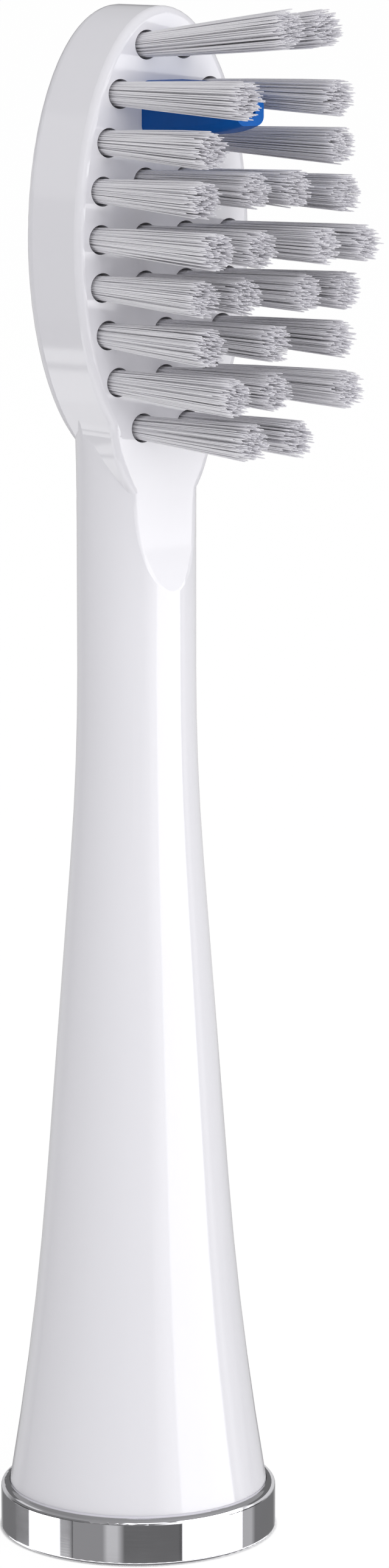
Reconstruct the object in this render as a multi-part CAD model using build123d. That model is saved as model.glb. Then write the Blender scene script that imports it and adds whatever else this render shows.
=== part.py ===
from build123d import *
import math
import os

# Electric toothbrush head with a water jet. Millimetres, +Z up the neck, bristles towards -Y.
# The origin is the centre of the base ring's lower face.

# Base ring
ring_radius = 8.08
ring_height = 2.85
ring_wall = 0.5
ring_lip = 0.6  # thickness of the lip that the skirt stands on
ring_top_round = 0.42
ring_foot_round = 0.2

# Outside of the body, stacked from the ring upwards
skirt_height = 9.25  # ring top to the waist corner
waist_radius = 6.0
cone_height = 33.5  # waist corner to the neck corner
neck_radius = 3.42
neck_length = 17.1  # neck corner to the paddle's lowest point
waist_bend_reach = 8.8  # length of each bend along its two straight runs
neck_bend_reach = 5.4
bend_limit = 0.95  # most of a straight run that one bend may take

# Paddle
paddle_length = 26.1
paddle_width = 12.4
paddle_thickness = 5.5
face_offset = 2.7  # bristle face in front of the neck's axis
face_edge_round = 0.44
back_edge_round = 1.3
throat_width = 7.5  # oval root of the paddle, where it grows out of the neck
throat_length = 13.0
throat_rise = 3.8  # middle of that root above the paddle's lowest point
throat_depth = 4.2  # behind the bristle face
throat_back_round = 1.2
throat_round = 2.5
nape_drop = 4.7  # the neck starts to widen here, below the paddle's lowest point
nape_rise = 9.0  # and is lost inside the paddle here, above that point
nape_cover = 0.35  # depth of its upper end under the paddle's back and sides
nape_steps = 4
nape_widening = 3.5  # powers of its change in width and in depth: slow at first, then faster
nape_thinning = 3.5
facet_end = 1.5  # the flat facet starts to run out here, below the paddle's lowest point
facet_runout_radius = 20.0
facet_edge_round = 0.5

# Inside of the skirt and its seats
skirt_wall = 1.35
seat_drop = 8.0  # shoulder over the seal, below the neck corner
bore_seat_length = 7.6  # straight bore that takes the socket's upper end

# Drive socket, clip and seal
shaft_bore_radius = 2.05
socket_wall = 0.9
socket_mouth = 5.0  # socket's lower end above the base plane
rib_count = 4
rib_thickness = 0.9
rib_mouth_gap = 0.5  # ribs start above the clip by this much
clip_inset = 1.0
clip_height = 2.5
clip_wall = 0.35
clip_slit = 0.8
seal_thickness = 1.6
seal_hole_radius = 1.75

# Water channel and nozzle
channel_radius = 0.7
channel_offset = 1.0  # behind the neck's axis
nozzle_drop = 5.6  # nozzle's middle below the paddle's top
nozzle_length = 7.5
nozzle_base_width = 3.4
nozzle_base_height = 3.0
nozzle_tip_width = 1.86
nozzle_tip_height = 1.55
nozzle_corner = 0.5
nozzle_steps = 4
nozzle_taper = 3  # power of the narrowing: slow at the foot, fast at the tip
stem_radius = 1.15
stem_length = 2.2
jet_radius = 0.35

# Tufts, from the paddle's top downwards
row_count = 9
tall_rows = (2, 5, 8)
raised_inner_row = 4
spread_inner_rows = (5, 6)
middle_rows = (7, 8)
first_leaning_row = 3
first_row_drop = 2.13
last_row_rise = 2.56
rim_margin = 1.6  # centre of an outer hole to the paddle's edge, measured along X
top_pair_offset = 1.32
foot_pair_offset = 1.62
inner_pair_offset = 1.45
hole_radius = 0.83
hole_depth = 2.4
tuft_tip_radius = 1.18
tuft_tip_round = 0.3
short_tuft = 9.9
tall_tuft = 11.35
long_tuft = 12.5
outer_lean = 3.6
inner_lean = 4.5
top_lean = 5.6
inner_raise = 0.4  # raised inner pair above its row
anchor_width = 2.0
anchor_height = 1.2
anchor_thickness = 0.25
fold_depth = 0.45  # bristles folded under the anchor

# Fits
ring_clearance = 0.03
socket_clearance = 0.05
clip_clearance = 0.02
stem_clearance = 0.03
tuft_clearance = 0.03
anchor_clearance = 0.02

# Heights and radii worked out from the sizes above
waist_z = ring_height + skirt_height
neck_z = waist_z + cone_height
paddle_foot_z = neck_z + neck_length
paddle_middle_z = paddle_foot_z + paddle_length / 2
paddle_top_z = paddle_foot_z + paddle_length
nape_z = paddle_foot_z - nape_drop
nape_top_z = paddle_foot_z + nape_rise
skirt_radius = ring_radius - ring_wall - ring_clearance
mouth_radius = skirt_radius - skirt_wall
socket_radius = shaft_bore_radius + socket_wall
seat_bore_radius = socket_radius + socket_clearance
seat_z = neck_z - seat_drop
bore_seat_z = seat_z - bore_seat_length
socket_top_z = seat_z - seal_thickness
clip_z = socket_mouth + clip_inset
rib_foot_z = clip_z + clip_height + rib_mouth_gap
nozzle_z = paddle_top_z - nozzle_drop
row_pitch = (paddle_length - first_row_drop - last_row_rise) / (row_count - 1)
tuft_radius = hole_radius - tuft_clearance

# Local X is X, local Y is Z and local Z points out of the bristle face
face_plane = Plane.XZ.offset(face_offset)


# Alignments of solids that start at their local XY plane, and at their local YZ plane too
on_plane = (Align.CENTER, Align.CENTER, Align.MIN)
from_axis = (Align.MIN, Align.CENTER, Align.MIN)


def turned(*edges):
    """Solid of revolution about Z from a closed outline of (radius, height) edges."""
    return revolve(Plane.XZ * make_face(edges), Axis.Z)


def peg(radius, low, high):
    """Round solid along local Z between two heights."""
    return Pos(0, 0, low) * Cylinder(radius, high - low, align=on_plane)


def bend_radius(before, corner, after, reach):
    """Radius of the arc that rounds a corner of an outline over the given reach."""
    into = Vector(*corner) - Vector(*before)
    out = Vector(*after) - Vector(*corner)
    turn = math.radians(into.get_angle(out))
    return min(reach, bend_limit * into.length, bend_limit * out.length) / math.tan(turn / 2)


def neck_and_skirt():
    """Outside of the flared skirt, the cone and the straight neck, without any hollow."""
    foot = (skirt_radius, ring_lip)
    skirt = (skirt_radius, ring_height)
    waist = (waist_radius, waist_z)
    corner = (neck_radius, neck_z)
    head = (neck_radius, nape_z)
    radii = [
        bend_radius(skirt, waist, corner, waist_bend_reach),
        bend_radius(waist, corner, head, neck_bend_reach),
    ]
    flank = FilletPolyline(skirt, waist, corner, head, radius=radii)
    rest = Polyline(head, (0, nape_z), (0, ring_lip), foot, skirt)
    return turned(*flank.edges(), *rest.edges())


def nape():
    """Upper end of the neck, which widens, thins at the back and is lost inside the paddle."""
    end_width = oval_half_width(nape_top_z) - nape_cover
    end_depth = paddle_thickness - face_offset - nape_cover
    sections = []
    for step in range(nape_steps + 1):
        share = step / nape_steps
        width = neck_radius + (end_width - neck_radius) * share**nape_widening
        depth = neck_radius + (end_depth - neck_radius) * share**nape_thinning
        z = nape_z + (nape_top_z - nape_z) * share
        section = Ellipse(width, (neck_radius + depth) / 2)
        sections.append(Pos(0, (depth - neck_radius) / 2, z) * section)
    return loft(sections)


def facet_cutter():
    """Everything in front of the bristle face and of the arc on which the facet leaves the neck."""
    start_z = paddle_foot_z - facet_end
    depth = neck_radius - face_offset + face_edge_round
    sweep = math.acos(1 - depth / facet_runout_radius)
    start = (-face_offset, start_z)
    half = (
        -face_offset - facet_runout_radius * (1 - math.cos(sweep / 2)),
        start_z - facet_runout_radius * math.sin(sweep / 2),
    )
    end = (-face_offset - depth, start_z - facet_runout_radius * math.sin(sweep))
    front_y = -face_offset - nozzle_length
    outline = [
        ThreePointArc(start, half, end),
        Line(end, (front_y, end[1])),
        Line((front_y, end[1]), (front_y, paddle_top_z)),
        Line((front_y, paddle_top_z), (-face_offset, paddle_top_z)),
        Line((-face_offset, paddle_top_z), start),
    ]
    return extrude(Plane.YZ * make_face(outline), paddle_width, both=True)


def faceted_neck():
    """Skirt, neck and nape with the flat facet at the front, its long edges rounded."""
    neck = neck_and_skirt() + nape() - facet_cutter()
    flat = neck.faces().filter_by(Axis.Y).sort_by(Axis.Y)[0]
    runout = neck.faces().filter_by(GeomType.CYLINDER).sort_by(Axis.Y)[0]
    sides = (flat.edges() + runout.edges()).filter_by(GeomType.LINE, reverse=True)
    return fillet(sides, facet_edge_round)


def paddle():
    """Oval plate whose front part also has the root that joins it to the neck."""
    oval = Pos(0, paddle_middle_z) * Ellipse(paddle_width / 2, paddle_length / 2)
    root = Pos(0, paddle_foot_z + throat_rise) * Ellipse(throat_width / 2, throat_length / 2)
    front = extrude(face_plane * (oval + root), -throat_depth)
    front = fillet(front.edges().filter_by(Axis.Y).group_by(Axis.Z)[0], throat_round)
    front = fillet(front.faces().sort_by(Axis.Y)[0].edges(), face_edge_round)
    front = fillet(front.faces().sort_by(Axis.Y)[-1].edges(), throat_back_round)
    joint = throat_depth / 2
    back = extrude(face_plane.offset(-joint) * oval, joint - paddle_thickness)
    return front + fillet(back.faces().sort_by(Axis.Y)[-1].edges(), back_edge_round)


def cavity(clearance):
    """Space inside the skirt and the socket's seat, shrunk by a clearance for what fills it."""
    mouth = (mouth_radius - clearance, ring_lip)
    waist = (waist_radius - skirt_wall - clearance, waist_z)
    bore = (seat_bore_radius - clearance, bore_seat_z)
    seat = (seat_bore_radius - clearance, seat_z)
    corners = [(0, ring_lip), mouth, waist, bore, seat, (0, seat_z)]
    return turned(*Polyline(*corners, close=True).edges())


def oval_half_width(z):
    """Half the paddle's width at a height."""
    share = (z - paddle_middle_z) / (paddle_length / 2)
    return paddle_width / 2 * math.sqrt(1 - share * share)


def row_z(row):
    """Height of a row of tufts, counted from the top."""
    return paddle_top_z - first_row_drop - (row - 1) * row_pitch


def pair(name, x, z, length, lean):
    """Two mirrored tufts: name, place on the face, length and outward lean."""
    return [(f"{name}left", -x, z, length, -lean), (f"{name}right", x, z, length, lean)]


def tuft_sites():
    """Every tuft's name, place on the face, length and sideways lean."""
    lengths = dict.fromkeys(tall_rows, tall_tuft)
    sites = pair("r1_", top_pair_offset, row_z(1), long_tuft, 0)
    for row in range(2, row_count):
        z = row_z(row)
        lean = outer_lean if row >= first_leaning_row else 0
        offset = oval_half_width(z) - rim_margin
        sites += pair(f"r{row}_", offset, z, lengths.get(row, short_tuft), lean)
    sites += pair(f"r{row_count}_", foot_pair_offset, row_z(row_count), short_tuft, 0)
    z = row_z(raised_inner_row) + inner_raise
    sites += pair(f"r{raised_inner_row}_inner_", inner_pair_offset, z, short_tuft, 0)
    for row in spread_inner_rows:
        length = lengths.get(row, short_tuft)
        sites += pair(f"r{row}_inner_", inner_pair_offset, row_z(row), length, inner_lean)
    for row in middle_rows:
        sites.append((f"r{row}_middle", 0, row_z(row), short_tuft, 0))
    return sites


def anchor(clearance=0.0):
    """Flat anchor across a tuft's hole, with the hole's mouth at the local origin."""
    low = fold_depth - hole_depth
    size = (anchor_width, anchor_thickness, anchor_height)
    block = Box(*(side + 2 * clearance for side in size))
    return Pos(0, 0, low + anchor_height / 2) * block


def tuft(length, lean, raise_angle):
    """Bundle folded round its anchor: straight in the hole, flared and leaning outside it."""
    stem = peg(tuft_radius, -hole_depth, 0)
    flare = Cone(tuft_radius, tuft_tip_radius, length, align=on_plane)
    flare = fillet(flare.edges().sort_by(Axis.Z)[-1], tuft_tip_round)
    return stem + Rot(-raise_angle, lean, 0) * flare - anchor(anchor_clearance)


def brush_body(sites):
    """White moulding with its hollow skirt, water channel, nozzle seat and tuft holes."""
    body = faceted_neck() + paddle() - cavity(0)
    body -= Pos(0, channel_offset, 0) * peg(channel_radius, seat_z, nozzle_z)
    at_nozzle = face_plane * Pos(0, nozzle_z, 0)
    body -= at_nozzle * peg(stem_radius + stem_clearance, -stem_length, 0)
    body -= at_nozzle * peg(jet_radius, -face_offset - channel_offset, 0)
    hole = peg(hole_radius, -hole_depth, 0) + anchor(anchor_clearance)
    for _, x, z, _, _ in sites:
        body -= face_plane * Pos(x, z, 0) * hole
    return body


def widest_rims(ring):
    """Circular edges of a ring at its largest radius, from the lowest up."""
    return ring.edges().filter_by(GeomType.CIRCLE).group_by(SortBy.RADIUS)[-1].sort_by(Axis.Z)


def base_ring():
    """Trim ring round the foot of the skirt, which stands on the ring's inner lip."""
    ring = peg(ring_radius, 0, ring_height)
    ring -= peg(skirt_radius + ring_clearance, ring_lip, ring_height)
    ring -= peg(mouth_radius, 0, ring_lip)
    ring = fillet(widest_rims(ring)[-1], ring_top_round)
    return fillet(widest_rims(ring)[0], ring_foot_round)


def drive_socket():
    """Tube for the handle's shaft, with ribs that centre it in the skirt."""
    tube = peg(socket_radius, socket_mouth, socket_top_z)
    space = cavity(socket_clearance)
    ribs = []
    for index in range(rib_count):
        plate = Box(ring_radius, rib_thickness, bore_seat_z - rib_foot_z, align=from_axis)
        turn = (index + 0.5) * 360 / rib_count
        ribs.append(Pos(0, 0, rib_foot_z) * Rot(0, 0, turn) * plate & space)
    socket = tube + ribs - peg(shaft_bore_radius, socket_mouth, socket_top_z)
    return socket - clip_band(clip_clearance)


def clip_band(clearance):
    """Ring-shaped space of the clip in the socket's outside."""
    outer = peg(socket_radius + clearance, clip_z, clip_z + clip_height)
    return outer - peg(socket_radius - clip_wall - clearance, clip_z, clip_z + clip_height)


def shaft_clip():
    """Split spring ring that squeezes the socket onto the shaft."""
    slit = Box(ring_radius, clip_slit, clip_height, align=from_axis)
    return clip_band(0) - Pos(0, 0, clip_z) * slit


def shaft_seal():
    """Flat washer between the socket's end and the shoulder over it."""
    return peg(socket_radius, socket_top_z, seat_z) - peg(seal_hole_radius, socket_top_z, seat_z)


def nozzle():
    """Blunt tapering tip on the bristle face, with its stem in the body and the jet through both."""
    sections = []
    for step in range(nozzle_steps + 1):
        share = step / nozzle_steps
        fall = share**nozzle_taper
        width = nozzle_base_width + (nozzle_tip_width - nozzle_base_width) * fall
        height = nozzle_base_height + (nozzle_tip_height - nozzle_base_height) * fall
        sections.append(Pos(0, 0, share * nozzle_length) * RectangleRounded(width, height, nozzle_corner))
    tip = loft(sections) + peg(stem_radius, -stem_length, 0)
    return face_plane * Pos(0, nozzle_z, 0) * (tip - peg(jet_radius, -stem_length, nozzle_length))


def main():
    """Build every piece and write each one to its own file."""
    os.makedirs("parts", exist_ok=True)
    sites = tuft_sites()
    pieces = {
        "brush_body": brush_body(sites),
        "base_ring": base_ring(),
        "drive_socket": drive_socket(),
        "shaft_clip": shaft_clip(),
        "shaft_seal": shaft_seal(),
        "nozzle": nozzle(),
    }
    anchors = []
    for name, x, z, length, lean in sites:
        place = face_plane * Pos(x, z, 0)
        raise_angle = top_lean if name.startswith("r1_") else 0
        pieces[f"tuft_{name}"] = place * tuft(length, lean, raise_angle)
        anchors.append(place * anchor())
    pieces["tuft_anchors"] = Compound(children=anchors)
    for name, piece in pieces.items():
        export_step(piece, f"parts/{name}.step")


main()
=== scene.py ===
"""Finishes, bristles and studio of an electric toothbrush head with a water jet."""

import math
import random

import bmesh
import bpy
from bpy.props import FloatProperty, FloatVectorProperty, IntProperty, PointerProperty
from mathutils import Matrix, Vector


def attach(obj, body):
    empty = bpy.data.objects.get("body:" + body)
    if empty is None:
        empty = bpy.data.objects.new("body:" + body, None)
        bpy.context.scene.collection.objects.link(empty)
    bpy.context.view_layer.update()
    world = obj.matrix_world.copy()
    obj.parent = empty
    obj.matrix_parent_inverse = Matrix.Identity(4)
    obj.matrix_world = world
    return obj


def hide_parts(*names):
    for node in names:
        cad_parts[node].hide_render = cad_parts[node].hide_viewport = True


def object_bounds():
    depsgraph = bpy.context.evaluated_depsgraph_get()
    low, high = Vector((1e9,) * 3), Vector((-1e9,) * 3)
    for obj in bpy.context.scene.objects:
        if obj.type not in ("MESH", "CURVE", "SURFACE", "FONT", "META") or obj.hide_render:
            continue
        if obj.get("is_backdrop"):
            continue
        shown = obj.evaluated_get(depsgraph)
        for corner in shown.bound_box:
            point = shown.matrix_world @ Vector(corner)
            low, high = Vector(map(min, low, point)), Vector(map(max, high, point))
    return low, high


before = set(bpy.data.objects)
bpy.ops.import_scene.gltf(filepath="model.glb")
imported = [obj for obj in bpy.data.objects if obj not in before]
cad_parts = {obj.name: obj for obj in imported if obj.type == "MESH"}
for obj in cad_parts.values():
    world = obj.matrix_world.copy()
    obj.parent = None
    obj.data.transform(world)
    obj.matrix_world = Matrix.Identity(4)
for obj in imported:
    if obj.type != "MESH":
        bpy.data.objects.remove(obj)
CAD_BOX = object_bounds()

bl_info = {
    "name": "Toothbrush Head",
    "version": (1, 0, 0),
    "blender": (4, 5, 0),
    "location": "3D View > Sidebar > Brush Head",
    "description": "Gives a toothbrush head its bristles, its finishes and a white studio",
    "category": "Object",
}

MM = 0.001
BODY = "root"
PHOTO_WIDTH = 639
PHOTO_HEIGHT = 2576
SENSOR_WIDTH = 36.0
TUFT_NODES = sorted(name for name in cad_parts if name.startswith("tuft_r"))

# Filaments
MOUTH = 0.13  # share of a filament's length at which it leaves its hole
FILAMENT_RINGS = [(MOUTH, 1.0), (0.42, 1.0), (0.76, 0.98), (0.986, 0.86), (0.996, 0.64), (1.0, 0.26)]
END_BAND = 0.45 * MM  # slice of a tuft's solid that gives its centre and width
SHORTFALL = 0.2 * MM  # filaments are shorter than their tuft by this much on average
GOLDEN_TURN = math.pi * (3.0 - math.sqrt(5.0))
TURN_SCATTER = 0.15  # most that a filament is turned from its even place, in radians
BOW_OUTWARD = (-0.4, 1.0)  # ranges of a filament's bend, as shares of the bow setting
BOW_ACROSS = (-0.5, 0.5)
PAINTED_TIP_LIGHT_FROM = 0.93  # share of a filament's length where the painted light on its end starts: the end is painted paler for light that shines through the nylon tip
PAINTED_TIP_LIGHT_RISE = 0.05

# Floor
FLOOR_SIZE = 6.0  # half its width
FLOOR_PAINT = (0.9, 0.9, 0.9, 1.0)
FLOOR_GLOW = 1.04
FLOOR_GLOW_SHARE = 0.9  # the rest of the floor's look is paint that takes shadows
CONTACT_SHADOW = 0.15 * MM  # width of the paint with no glow round the ring

# Lamps: angle in degrees to the right of the camera, lift over the head's middle, width
KEY_LAMP = (32.0, 0.25, 0.7)
RIM_LAMP = (-105.0, 0.05, 0.5)
LAMP_DISTANCE = 0.7
LAMP_HEIGHT = 0.8

# Light tent: sizes in metres, and levels of its cloth
TENT_STRENGTH = 5.0
TENT_RADIUS = 0.5
TENT_SEGMENTS = 96
TENT_FOOT = -0.24
TENT_TOP = 0.40
TENT_SEAM = 0.004
ROOF_ANGLE = 60.0  # bright side, in degrees to the right of the camera
ROOF_DARK = 0.24
ROOF_RISE = 0.18
BASE_GREY = 0.2
BASE_WHITE = 1.5
BASE_MIDDLE = 0.5  # grey middle and its soft edge, as shares of the tent's radius
BASE_EDGE = 0.1

# Panes of the tent: from and to in degrees to the right of the camera, soft edge, level
CARD_PANES = [(-126, -56, 4, 0.36)]
RING_PANES = [
    (-200, -103, 1, 0.035),
    (-200, -150, 20, 0.09),
    (-104, -67.5, 1.5, 0.42),
    (-68, -56.2, 0.4, 0.045),
    (-55.8, -20, 0.4, 0.055),
    (-33, -9, 8, 0.115),
    (-16, 40, 6, 0.025),
    (37, 98.5, 1.5, 0.5),
    (90, 120, 10, 0.09),
    (97, 200, 1, 0.035),
    (150, 200, 20, 0.09),
]
BELT_PANES = [(-200, -122, 16, 0.1), (118, 200, 16, 0.1)]
BODY_PANES = [
    (-200, -112, 30, 0.11),
    (12, 100, 22, 0.4),
    (37.5, 95.5, 2, 0.88),
    (90, 118, 14, 0.27),
    (100, 200, 10, 0.13),
]
CANOPY_PANES = [
    (-128, -84, 7, 0.13),
    (-95, 40, 8, 0.065),
    (-14, 29, 7, 0.25),
    (31, 101, 8, 0.6),
    (92, 112, 10, 0.13),
]

# Storeys of the tent, from the lowest up: height of the foot, level of the cloth, panes
TENT_STOREYS = [
    (-0.30, 0.05, CARD_PANES),
    (-0.168, 0.01, RING_PANES),
    (-0.154, 0.05, CARD_PANES),
    (-0.125, 0.015, BELT_PANES),
    (-0.075, 0.038, BODY_PANES),
    (0.10, 0.03, CANOPY_PANES),
    (0.24, 0.06, []),
]


class Wire:
    """A socket of a node tree that takes part in plain arithmetic."""

    def __init__(self, nodes, socket):
        self.nodes = nodes
        self.socket = socket

    def math(self, operation, *others):
        return self.nodes.add("ShaderNodeMath", {"operation": operation}, {
            place: value for place, value in enumerate((self, *others))
        })

    def __add__(self, other):
        return self.math("ADD", other)

    __radd__ = __add__

    def __sub__(self, other):
        return self.math("SUBTRACT", other)

    def __rsub__(self, other):
        return self.nodes.add("ShaderNodeMath", {"operation": "SUBTRACT"}, {0: other, 1: self})

    def __mul__(self, other):
        return self.math("MULTIPLY", other)

    __rmul__ = __mul__

    def __truediv__(self, other):
        return self.math("DIVIDE", other)

    def __pow__(self, other):
        return self.math("POWER", other)

    def clamped(self):
        return self.nodes.add("ShaderNodeClamp", {}, {"Value": self})


class Nodes:
    """One node tree and the method that adds every node to it."""

    def __init__(self, tree):
        self.tree = tree
        tree.nodes.clear()

    def add(self, kind, settings, sockets, output=0):
        """Add a node, set it up, then give its sockets their values or links."""
        node = self.tree.nodes.new(kind)
        for name, value in settings.items():
            setattr(node, name, value)
        for name, value in sockets.items():
            if isinstance(value, Wire):
                self.tree.links.new(value.socket, node.inputs[name])
            else:
                node.inputs[name].default_value = value
        return Wire(self, node.outputs[output]) if len(node.outputs) else node

    def split(self, vector):
        """The three parts of a vector."""
        parts = self.add("ShaderNodeSeparateXYZ", {}, {"Vector": vector})
        return [Wire(self, socket) for socket in parts.socket.node.outputs]

    def place(self):
        """Object coordinates."""
        return self.add("ShaderNodeTexCoord", {}, {}, "Object")

    def ray(self, kind):
        """1 for rays of one kind, such as Is Camera Ray."""
        return self.add("ShaderNodeLightPath", {}, {}, kind)

    def attribute(self, name):
        """A number stored on the mesh."""
        return self.add("ShaderNodeAttribute", {"attribute_name": name}, {}, "Fac")

    def noise(self, scale, detail=2.0, stretch=(1.0, 1.0, 1.0)):
        """Noise of 0 to 1 on Object coordinates, with cells of about 1 / scale metres."""
        mapped = self.add("ShaderNodeMapping", {}, {"Vector": self.place(), "Scale": stretch})
        sockets = {"Vector": mapped, "Scale": scale, "Detail": detail}
        return self.add("ShaderNodeTexNoise", {}, sockets, "Fac")

    def mix(self, share, first, second):
        """Colour between two colours."""
        return self.add(
            "ShaderNodeMix", {"data_type": "RGBA"}, {"Factor": share, 6: first, 7: second}, 2
        )

    def bump(self, height, depth):
        """Normal of a surface that stands out by depth metres where height is 1."""
        return self.add("ShaderNodeBump", {}, {"Height": height, "Distance": depth, "Strength": 1.0})


def material_of(name, surface):
    """Material whose last shader is given by a function of its nodes."""
    material = bpy.data.materials.new(name)
    material.use_nodes = True
    nodes = Nodes(material.node_tree)
    nodes.add("ShaderNodeOutputMaterial", {}, {"Surface": surface(nodes)})
    return material


def finish_of(name, fill):
    """Material with one Principled shader, whose sockets are given by a function of its nodes."""
    return material_of(name, lambda nodes: nodes.add("ShaderNodeBsdfPrincipled", {}, fill(nodes)))


def opaque(colour):
    """Colour with full alpha."""
    return (*colour, 1.0)


def tinted(colour, factor):
    """Colour made darker or lighter by a factor, with full alpha."""
    return opaque(part * factor for part in colour)


def colour_setting(name, description, default):
    """Property that holds a colour."""
    return FloatVectorProperty(
        name=name, description=description, subtype="COLOR", size=3, min=0.0, max=1.0, default=default
    )


def length_setting(name, description, default):
    """Property that holds a length in metres."""
    return FloatProperty(
        name=name, description=description, unit="LENGTH", precision=5, default=default
    )


class HeadColours(bpy.types.PropertyGroup):
    """Base colours of the head's finishes."""

    white: colour_setting("White moulding", "Colour of the moulded body", (0.83, 0.822, 0.866))
    chrome: colour_setting("Chrome", "Colour of the plated base ring", (0.92, 0.915, 0.955))
    blue: colour_setting("Jet tip", "Colour of the water jet's soft tip", (0.001, 0.109, 0.45))
    nylon: colour_setting("Bristles", "Colour of the nylon filaments", (0.885, 0.875, 0.915))
    socket: colour_setting("Drive socket", "Colour of the inner socket's plastic", (0.55, 0.56, 0.58))
    steel: colour_setting("Spring clip", "Colour of the clip's steel", (0.56, 0.57, 0.58))
    rubber: colour_setting("Seal", "Colour of the seal's rubber", (0.03, 0.03, 0.033))
    brass: colour_setting("Anchors", "Colour of the tuft anchors' brass", (0.70, 0.50, 0.22))


class BristleSizes(bpy.types.PropertyGroup):
    """Sizes of the filaments in each tuft."""

    face_offset: length_setting("Face offset", "Bristle face in front of the neck's axis", 2.7 * MM)
    per_tuft: IntProperty(
        name="Filaments", description="Filaments that show in one tuft", default=270, min=7, max=400
    )
    diameter: length_setting("Diameter", "Thickness of a filament", 0.088 * MM)
    sides: IntProperty(
        name="Sides", description="Sides of a filament's section", default=5, min=3, max=8
    )
    sunk: length_setting("Sunk", "Depth in the hole at which the filaments start", 1.6 * MM)
    pinch: FloatProperty(
        name="Pinch", description="Bundle's width in its hole, as a share of the hole's", default=0.88
    )
    spread: FloatProperty(
        name="Spread", description="Bundle's width at its end, as a share of the tuft's", default=0.9
    )
    longest: length_setting("Longest", "Most that a filament stands past its tuft's end", 0.1 * MM)
    ragged: length_setting("Ragged ends", "Spread of the filaments' lengths", 0.36 * MM)
    stray: length_setting("Stray", "Sideways scatter of the filaments' ends", 0.045 * MM)
    bow: length_setting("Bow", "Scale of a filament's bend between its ends", 0.05 * MM)
    seed: IntProperty(name="Seed", description="Start of the random scatter", default=11)


class StudioSizes(bpy.types.PropertyGroup):
    """Camera and light of the studio."""

    azimuth: FloatProperty(
        name="Camera azimuth", description="Camera's turn about the head from its front",
        subtype="ANGLE", default=math.radians(-38.9),
    )
    pitch: FloatProperty(
        name="Camera pitch", description="Downward tilt of the camera", subtype="ANGLE", default=0.17472
    )
    distance: length_setting("Camera distance", "Camera from the head's axis, along the floor", 300.45 * MM)
    sideways: length_setting("Camera sideways", "Camera to the right of the head's axis", 3.318 * MM)
    height: length_setting("Camera height", "Camera above the floor", 97.37 * MM)
    focal_pixels: FloatProperty(
        name="Focal length", description="Focal length in pixels of the photograph", default=8697.0
    )
    ambient: FloatProperty(
        name="Ambient", description="Light from all round that falls on matt surfaces", default=0.64
    )
    key: FloatProperty(name="Key lamp", description="Power of the large lamp on the right", default=2.9)
    rim: FloatProperty(name="Rim lamp", description="Power of the weak lamp on the left", default=0.8)


class HeadSettings(bpy.types.PropertyGroup):
    """All settings of the toothbrush head."""

    colours: PointerProperty(type=HeadColours)
    bristles: PointerProperty(type=BristleSizes)
    studio: PointerProperty(type=StudioSizes)


def white_moulding(colours):
    """Glossy white plastic with the faint unevenness of a polished mould."""

    def fill(nodes):
        cloud = nodes.noise(90.0)
        grain = nodes.noise(2600.0, 3.0)
        return {
            "Base Color": nodes.mix(cloud, tinted(colours.white, 0.985), tinted(colours.white, 1.01)),
            "Roughness": 0.07 + 0.03 * grain,
            "Normal": nodes.bump(grain, 0.0008 * MM),
            "IOR": 1.5,
        }

    return finish_of("white_moulding", fill)


def plated_chrome(colours):
    """Polished chrome with fine polishing lines round the ring."""

    def fill(nodes):
        lines = nodes.noise(400.0, 3.0, (1.0, 1.0, 30.0))
        haze = nodes.noise(500.0)
        return {
            "Base Color": nodes.mix(haze, tinted(colours.chrome, 0.95), opaque(colours.chrome)),
            "Metallic": 1.0,
            "Roughness": 0.045 + 0.05 * lines * haze,
        }

    return finish_of("plated_chrome", fill)


def soft_blue(colours):
    """Satin blue elastomer of the jet tip."""

    def fill(nodes):
        cloud = nodes.noise(700.0)
        skin = nodes.noise(9000.0, 2.0)
        return {
            "Base Color": nodes.mix(cloud, tinted(colours.blue, 0.92), tinted(colours.blue, 1.08)),
            "Roughness": 0.42 + 0.14 * skin,
            "Normal": nodes.bump(skin, 0.003 * MM),
            "Specular IOR Level": 0.18,
        }

    return finish_of("soft_blue", fill)


def bristle_nylon(colours):
    """Drawn nylon whose filaments differ a little, with painted light at their rounded ends: the ends are
    painted paler for light that shines through the tips.
    """

    def fill(nodes):
        tone = nodes.attribute("tone")
        reach = nodes.attribute("reach")
        drawn = nodes.noise(5000.0, 2.0, (1.0, 0.08, 1.0))
        shade = (0.72 * tone + 0.28 * drawn).clamped()
        shaft = nodes.mix(shade, tinted(colours.nylon, 0.9), tinted(colours.nylon, 1.02))
        # painted light: the end of each filament is mixed towards a paler colour, standing in for the light
        # that shines through its tip
        end = (reach - PAINTED_TIP_LIGHT_FROM) / PAINTED_TIP_LIGHT_RISE
        return {
            "Base Color": nodes.mix(end.clamped() * 0.8, shaft, tinted(colours.nylon, 1.09)),
            "Roughness": 0.30 + 0.15 * drawn,
            "IOR": 1.53,
            "Subsurface Weight": 0.1,
            "Subsurface Radius": (1.0, 1.0, 1.0),
            "Subsurface Scale": 0.1 * MM,
        }

    return finish_of("bristle_nylon", fill)


def socket_plastic(colours):
    """Dull moulded plastic of the inner socket."""

    def fill(nodes):
        cloud = nodes.noise(300.0, 3.0)
        grain = nodes.noise(7000.0, 2.0)
        return {
            "Base Color": nodes.mix(cloud, tinted(colours.socket, 0.92), tinted(colours.socket, 1.05)),
            "Roughness": 0.45 + 0.2 * grain,
            "Normal": nodes.bump(grain, 0.004 * MM),
        }

    return finish_of("socket_plastic", fill)


def spring_steel(colours):
    """Rolled steel strip with lines along the strip."""

    def fill(nodes):
        lines = nodes.noise(900.0, 4.0, (1.0, 1.0, 25.0))
        return {
            "Base Color": nodes.mix(lines, tinted(colours.steel, 0.85), tinted(colours.steel, 1.1)),
            "Metallic": 1.0,
            "Roughness": 0.22 + 0.2 * lines,
            "Normal": nodes.bump(lines, 0.002 * MM),
        }

    return finish_of("spring_steel", fill)


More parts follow.
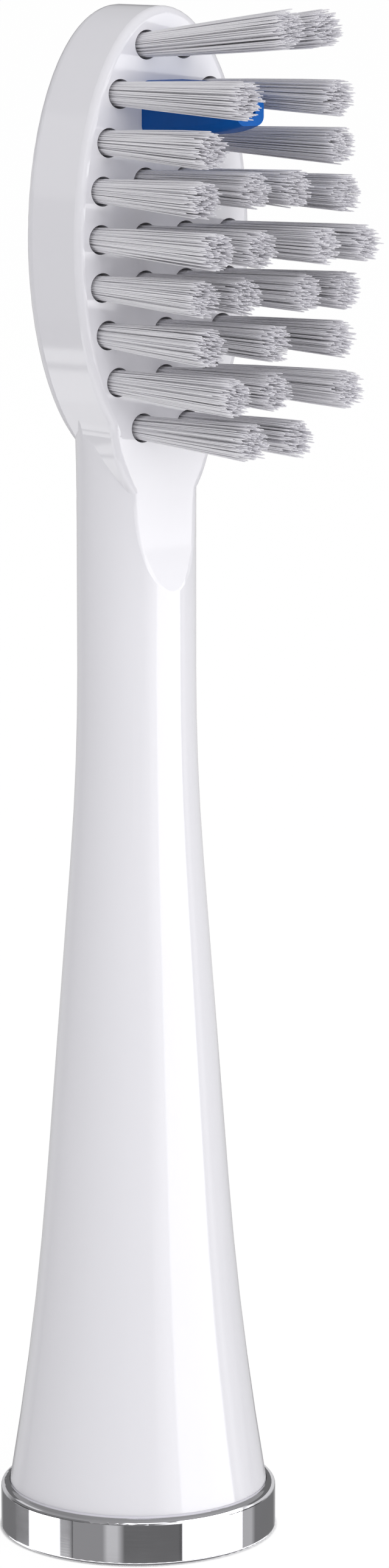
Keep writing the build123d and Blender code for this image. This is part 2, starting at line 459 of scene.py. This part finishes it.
def seal_rubber(colours):
    """Matt black rubber with a fine bloom."""

    def fill(nodes):
        bloom = nodes.noise(800.0, 4.0)
        grain = nodes.noise(8000.0, 2.0)
        return {
            "Base Color": nodes.mix(bloom, opaque(colours.rubber), tinted(colours.rubber, 1.7)),
            "Roughness": 0.7 + 0.2 * grain,
            "Normal": nodes.bump(grain, 0.006 * MM),
        }

    return finish_of("seal_rubber", fill)


def anchor_brass(colours):
    """Brass wire, flattened and cut, slightly dulled."""

    def fill(nodes):
        dull = nodes.noise(1500.0, 3.0)
        lines = nodes.noise(1200.0, 3.0, (1.0, 20.0, 1.0))
        return {
            "Base Color": nodes.mix(dull, tinted(colours.brass, 0.75), opaque(colours.brass)),
            "Metallic": 1.0,
            "Roughness": 0.25 + 0.2 * lines,
            "Normal": nodes.bump(lines, 0.002 * MM),
        }

    return finish_of("anchor_brass", fill)


def give_finish(name, material):
    """Put one finish on a part that keeps its own shape."""
    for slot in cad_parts[name].material_slots:
        slot.material = material


def box_of(points):
    """Centre and half sizes of the box round some points."""
    low = Vector(min(point[axis] for point in points) for axis in range(3))
    high = Vector(max(point[axis] for point in points) for axis in range(3))
    return (low + high) / 2, (high - low) / 2


def tuft_axis(name, face_y):
    """A tuft's centre and radius at the bristle face, and at its trimmed end."""
    points = [vertex.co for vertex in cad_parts[name].data.vertices]
    end_y = min(point.y for point in points)
    stem_middle, stem_half = box_of([point for point in points if point.y > face_y + END_BAND])
    end_middle, end_half = box_of([point for point in points if point.y < end_y + END_BAND])
    foot = Vector((stem_middle.x, face_y, stem_middle.z))
    tip = Vector((end_middle.x, end_y, end_middle.z))
    return foot, stem_half.x, tip, end_half.z


def unit_filament(bm, sides):
    """Rod of length 1 along Z with a rounded end, which every filament is a copy of."""
    made = bmesh.ops.create_circle(bm, cap_ends=False, radius=1.0, segments=sides)
    edges = list({edge for vert in made["verts"] for edge in vert.link_edges})
    height, radius = 0.0, 1.0
    for next_height, next_radius in FILAMENT_RINGS:
        grown = bmesh.ops.extrude_edge_only(bm, edges=edges)["geom"]
        verts = [item for item in grown if isinstance(item, bmesh.types.BMVert)]
        edges = [item for item in grown if isinstance(item, bmesh.types.BMEdge)]
        change = next_radius / radius
        bmesh.ops.scale(bm, vec=(change, change, 1.0), verts=verts)
        bmesh.ops.translate(bm, vec=(0.0, 0.0, next_height - height), verts=verts)
        height, radius = next_height, next_radius
    bmesh.ops.holes_fill(bm, edges=edges, sides=sides)
    bmesh.ops.recalc_face_normals(bm, faces=bm.faces)
    return list(bm.verts) + list(bm.edges) + list(bm.faces)


def lay_filament(verts, tone_layer, reach_layer, tone, path, bow, across, up, radius):
    """Put one copy of the unit filament along its root, mouth and end, bowed past the mouth."""
    root, mouth, end = path
    for vert in verts:
        along = vert.co.z
        free = max(0.0, (along - MOUTH) / (1.0 - MOUTH))
        centre = root.lerp(mouth, min(1.0, along / MOUTH)) if free == 0.0 else mouth.lerp(end, free)
        centre = centre + bow * (4.0 * free * (1.0 - free))
        vert[tone_layer] = tone
        vert[reach_layer] = along
        vert.co = centre + (across * vert.co.x + up * vert.co.y) * radius


def make_tuft(name, sizes, material, draw):
    """Bundle of filaments that fills one tuft's solid, from inside its hole to ragged ends."""
    radius = sizes.diameter / 2
    foot, foot_radius, tip, tip_radius = tuft_axis(name, -sizes.face_offset)
    foot_reach = foot_radius * sizes.pinch - radius
    tip_reach = tip_radius * sizes.spread - radius
    axis = (tip - foot).normalized()
    up = (Vector((0.0, 0.0, 1.0)) - axis * axis.z).normalized()
    across = up.cross(axis)
    bm = bmesh.new()
    tone_layer = bm.verts.layers.float.new("tone")
    reach_layer = bm.verts.layers.float.new("reach")
    unit = unit_filament(bm, sizes.sides)
    for index in range(sizes.per_tuft):
        share = math.sqrt((index + 0.5) / sizes.per_tuft)
        angle = index * GOLDEN_TURN + draw.uniform(-TURN_SCATTER, TURN_SCATTER)
        outward = across * math.cos(angle) + up * math.sin(angle)
        scatter = across * draw.gauss(0.0, sizes.stray) + up * draw.gauss(0.0, sizes.stray)
        length_change = min(draw.gauss(-SHORTFALL, sizes.ragged), sizes.longest)
        mouth = foot + outward * share * foot_reach
        root = mouth + Vector((0.0, sizes.sunk, 0.0))
        end = tip + outward * share * tip_reach + scatter + axis * length_change
        bow = outward * draw.uniform(*BOW_OUTWARD) + across * draw.uniform(*BOW_ACROSS)
        copied = bmesh.ops.duplicate(bm, geom=unit)["geom"]
        verts = [item for item in copied if isinstance(item, bmesh.types.BMVert)]
        path = (root, mouth, end)
        tone = draw.random()
        lay_filament(verts, tone_layer, reach_layer, tone, path, bow * sizes.bow, across, up, radius)
    bmesh.ops.delete(bm, geom=unit, context="VERTS")
    return add_piece(name.replace("tuft_", "bristles_"), bm, material, name)


def new_object(name, bm, material):
    """Turn a finished mesh into an object at the origin with one material."""
    mesh = bpy.data.meshes.new(name)
    bm.to_mesh(mesh)
    bm.free()
    mesh.shade_smooth()
    mesh.materials.append(material)
    piece = bpy.data.objects.new(name, mesh)
    bpy.context.scene.collection.objects.link(piece)
    return piece


def add_piece(name, bm, material, node):
    """Make a finished mesh a piece of the head that stands for one part."""
    bmesh.ops.recalc_face_normals(bm, faces=bm.faces)
    piece = new_object(name, bm, material)
    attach(piece, BODY)
    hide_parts(node)
    return piece


def stage_piece(name, bm, material):
    """Make a finished mesh a piece of the studio, which isn't part of the head."""
    piece = new_object(name, bm, material)
    piece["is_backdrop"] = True
    return piece


class BRUSHHEAD_OT_moulding(bpy.types.Operator):
    """Finish the white body and its chrome ring"""

    bl_idname = "brush_head.moulding"
    bl_label = "Body and Ring"

    def execute(self, context):
        colours = context.scene.brush_head.colours
        give_finish("brush_body", white_moulding(colours))
        give_finish("base_ring", plated_chrome(colours))
        return {"FINISHED"}


class BRUSHHEAD_OT_jet_tip(bpy.types.Operator):
    """Finish the blue tip of the water jet"""

    bl_idname = "brush_head.jet_tip"
    bl_label = "Jet Tip"

    def execute(self, context):
        give_finish("nozzle", soft_blue(context.scene.brush_head.colours))
        return {"FINISHED"}


class BRUSHHEAD_OT_inner_pieces(bpy.types.Operator):
    """Finish the socket, clip, seal and anchors inside the head"""

    bl_idname = "brush_head.inner_pieces"
    bl_label = "Inner Pieces"

    def execute(self, context):
        colours = context.scene.brush_head.colours
        give_finish("drive_socket", socket_plastic(colours))
        give_finish("shaft_clip", spring_steel(colours))
        give_finish("shaft_seal", seal_rubber(colours))
        give_finish("tuft_anchors", anchor_brass(colours))
        return {"FINISHED"}


class BRUSHHEAD_OT_bristles(bpy.types.Operator):
    """Make every tuft's filaments"""

    bl_idname = "brush_head.bristles"
    bl_label = "Bristles"

    def execute(self, context):
        settings = context.scene.brush_head
        draw = random.Random(settings.bristles.seed)
        material = bristle_nylon(settings.colours)
        for name in TUFT_NODES:
            make_tuft(name, settings.bristles, material, draw)
        return {"FINISHED"}


def view_axes(studio):
    """Level directions from the head to the camera and to the camera's right."""
    turn = Matrix.Rotation(studio.azimuth, 3, "Z")
    return turn @ Vector((0.0, -1.0, 0.0)), turn @ Vector((1.0, 0.0, 0.0))


def set_camera(studio):
    """Camera that sees the head as the photograph does."""
    towards, right = view_axes(studio)
    data = bpy.data.cameras.new("photo_camera")
    data.sensor_width = SENSOR_WIDTH
    data.lens = data.sensor_width * studio.focal_pixels / max(PHOTO_WIDTH, PHOTO_HEIGHT)
    data.clip_start = 10 * MM
    data.clip_end = 20.0
    camera = bpy.data.objects.new("photo_camera", data)
    camera.location = towards * studio.distance + right * studio.sideways
    camera.location.z = studio.height
    camera.rotation_euler = (math.pi / 2 - studio.pitch, 0.0, studio.azimuth)
    bpy.context.scene.collection.objects.link(camera)
    bpy.context.scene.camera = camera


def set_world(studio):
    """White to the eye and in reflections, and a soft even light on matt surfaces."""
    world = bpy.data.worlds.new("studio_white")
    world.use_nodes = True
    nodes = Nodes(world.node_tree)
    camera_ray = nodes.ray("Is Camera Ray")
    glossy_ray = nodes.ray("Is Glossy Ray")
    through_ray = nodes.ray("Is Transmission Ray")
    seen = (camera_ray + glossy_ray + through_ray).clamped()
    strength = studio.ambient + (1.0 - studio.ambient) * seen
    white = nodes.add("ShaderNodeBackground", {}, {"Color": (1.0, 1.0, 1.0, 1.0), "Strength": strength})
    nodes.add("ShaderNodeOutputWorld", {}, {"Surface": white})
    bpy.context.scene.world = world


def make_floor():
    """White floor that keeps a pale shadow, deepest at the foot of the ring."""

    def surface(nodes):
        camera_ray = nodes.ray("Is Camera Ray")
        paint = nodes.add("ShaderNodeBsdfDiffuse", {}, {"Color": FLOOR_PAINT})
        glow = nodes.add("ShaderNodeEmission", {}, {"Strength": FLOOR_GLOW})
        x, y, _ = nodes.split(nodes.place())
        from_ring = (x * x + y * y) ** 0.5 - CAD_BOX[1].x
        away = (from_ring / CONTACT_SHADOW).clamped()
        share = camera_ray * away * FLOOR_GLOW_SHARE
        return nodes.add("ShaderNodeMixShader", {}, {0: share, 1: paint, 2: glow})

    bm = bmesh.new()
    bmesh.ops.create_grid(bm, x_segments=1, y_segments=1, size=FLOOR_SIZE)
    floor = stage_piece("studio_floor", bm, material_of("studio_floor", surface))
    floor.visible_glossy = False


def turned_place(nodes, studio, degrees):
    """Object coordinates whose X runs level from the head at an angle to the right of the camera."""
    towards, _ = view_axes(studio)
    turn = math.atan2(towards.y, towards.x) + math.radians(degrees)
    turned = nodes.add("ShaderNodeMapping", {}, {"Vector": nodes.place(), "Rotation": (0.0, 0.0, -turn)})
    return nodes.split(turned)


def pane_light(around, cloth, panes):
    """Light of a cloth wall with panes, each from one angle to another, with soft edges and a level."""
    light = cloth
    for start, end, edge, level in panes:
        rise = ((around - start) / edge).clamped()
        fall = ((end - around) / edge).clamped()
        light = (rise * fall * level).math("MAXIMUM", light)
    return light


def make_light_tent(studio):
    """Drum round the head that only reflections show, with other panes in each of its storeys."""

    def surface(nodes):
        ahead, side, height = turned_place(nodes, studio, 0.0)
        around = side.math("ARCTAN2", ahead) * math.degrees(1.0)
        light = 0.0
        for foot, cloth, panes in TENT_STOREYS:
            share = ((height - foot) / TENT_SEAM).clamped()
            light = light + (pane_light(around, cloth, panes) - light) * share
        return nodes.add("ShaderNodeEmission", {}, {"Color": light, "Strength": TENT_STRENGTH})

    bm = bmesh.new()
    depth = TENT_TOP - TENT_FOOT
    made = bmesh.ops.create_cone(
        bm, cap_ends=False, segments=TENT_SEGMENTS,
        radius1=TENT_RADIUS, radius2=TENT_RADIUS, depth=depth,
    )
    bmesh.ops.translate(bm, vec=(0.0, 0.0, TENT_FOOT + depth / 2), verts=made["verts"])
    only_in_reflections(stage_piece("light_tent", bm, material_of("light_tent", surface)))


def make_tent_roof(studio):
    """Grey cloth over the tent, brighter on the side of the right-hand panes."""

    def surface(nodes):
        ahead, _, _ = turned_place(nodes, studio, ROOF_ANGLE)
        along = ahead / (2 * TENT_RADIUS) + 0.5
        return nodes.add("ShaderNodeEmission", {}, {"Color": ROOF_DARK + ROOF_RISE * along * along})

    only_in_reflections(stage_piece("tent_roof", disc(TENT_TOP), material_of("tent_roof", surface)))


def make_tent_base():
    """White board with a grey middle under the tent, which surfaces that face down reflect."""

    def surface(nodes):
        x, y, _ = nodes.split(nodes.place())
        outward = (x * x + y * y) ** 0.5 / TENT_RADIUS
        white = ((outward - BASE_MIDDLE) / BASE_EDGE).clamped()
        level = BASE_GREY + (BASE_WHITE - BASE_GREY) * white
        return nodes.add("ShaderNodeEmission", {}, {"Color": level})

    only_in_reflections(stage_piece("tent_base", disc(TENT_FOOT), material_of("tent_base", surface)))


def disc(height):
    """Level disc that closes the tent at a height."""
    bm = bmesh.new()
    made = bmesh.ops.create_circle(bm, cap_ends=True, segments=TENT_SEGMENTS, radius=TENT_RADIUS)
    bmesh.ops.translate(bm, vec=(0.0, 0.0, height), verts=made["verts"])
    return bm


def only_in_reflections(piece):
    """Keep a stage piece out of everything but glossy reflections."""
    piece.visible_camera = False
    piece.visible_diffuse = False
    piece.visible_shadow = False
    piece.visible_transmission = False


def add_lamp(name, place, power, studio):
    """Softbox at an angle to the right of the camera, turned to the head's middle."""
    degrees, lift, width = place
    towards, right = view_axes(studio)
    angle = math.radians(degrees)
    middle = (CAD_BOX[0] + CAD_BOX[1]) / 2
    data = bpy.data.lights.new(name, "AREA")
    data.shape = "RECTANGLE"
    data.size = width
    data.size_y = LAMP_HEIGHT
    data.energy = power
    lamp = bpy.data.objects.new(name, data)
    lamp.location = middle + (towards * math.cos(angle) + right * math.sin(angle)) * LAMP_DISTANCE
    lamp.location.z += lift
    lamp.rotation_euler = (middle - lamp.location).to_track_quat("-Z", "Y").to_euler()
    lamp.visible_camera = False
    lamp.visible_glossy = False
    bpy.context.scene.collection.objects.link(lamp)


class BRUSHHEAD_OT_stage(bpy.types.Operator):
    """Set up the camera, the white studio and its lamps"""

    bl_idname = "brush_head.stage"
    bl_label = "Studio"

    def execute(self, context):
        studio = context.scene.brush_head.studio
        context.scene.view_settings.view_transform = "Standard"
        set_camera(studio)
        set_world(studio)
        make_floor()
        make_light_tent(studio)
        make_tent_roof(studio)
        make_tent_base()
        add_lamp("key_lamp", KEY_LAMP, studio.key, studio)
        add_lamp("rim_lamp", RIM_LAMP, studio.rim, studio)
        return {"FINISHED"}


class BRUSHHEAD_PT_panel(bpy.types.Panel):
    """Lists the head's steps and settings"""

    bl_idname = "BRUSHHEAD_PT_panel"
    bl_label = "Brush Head"
    bl_space_type = "VIEW_3D"
    bl_region_type = "UI"
    bl_category = "Brush Head"

    def draw(self, context):
        settings = context.scene.brush_head
        for operator in OPERATORS:
            self.layout.operator(operator.bl_idname)
        for group in (settings.colours, settings.bristles, settings.studio):
            box = self.layout.box()
            for name in group.__annotations__:
                box.prop(group, name)


OPERATORS = (
    BRUSHHEAD_OT_moulding,
    BRUSHHEAD_OT_jet_tip,
    BRUSHHEAD_OT_inner_pieces,
    BRUSHHEAD_OT_bristles,
    BRUSHHEAD_OT_stage,
)
CLASSES = (HeadColours, BristleSizes, StudioSizes, HeadSettings, *OPERATORS, BRUSHHEAD_PT_panel)


def register():
    for item in CLASSES:
        bpy.utils.register_class(item)
    bpy.types.Scene.brush_head = PointerProperty(type=HeadSettings)


def unregister():
    del bpy.types.Scene.brush_head
    for item in reversed(CLASSES):
        bpy.utils.unregister_class(item)


def main():
    register()
    bpy.ops.brush_head.moulding()
    bpy.ops.brush_head.jet_tip()
    bpy.ops.brush_head.inner_pieces()
    bpy.ops.brush_head.bristles()
    bpy.ops.brush_head.stage()
    boxes = {"cad": CAD_BOX, "visual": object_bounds()}
    {name: [list(corner) for corner in box] for name, box in boxes.items()}


if __name__ == "__main__":
    main()
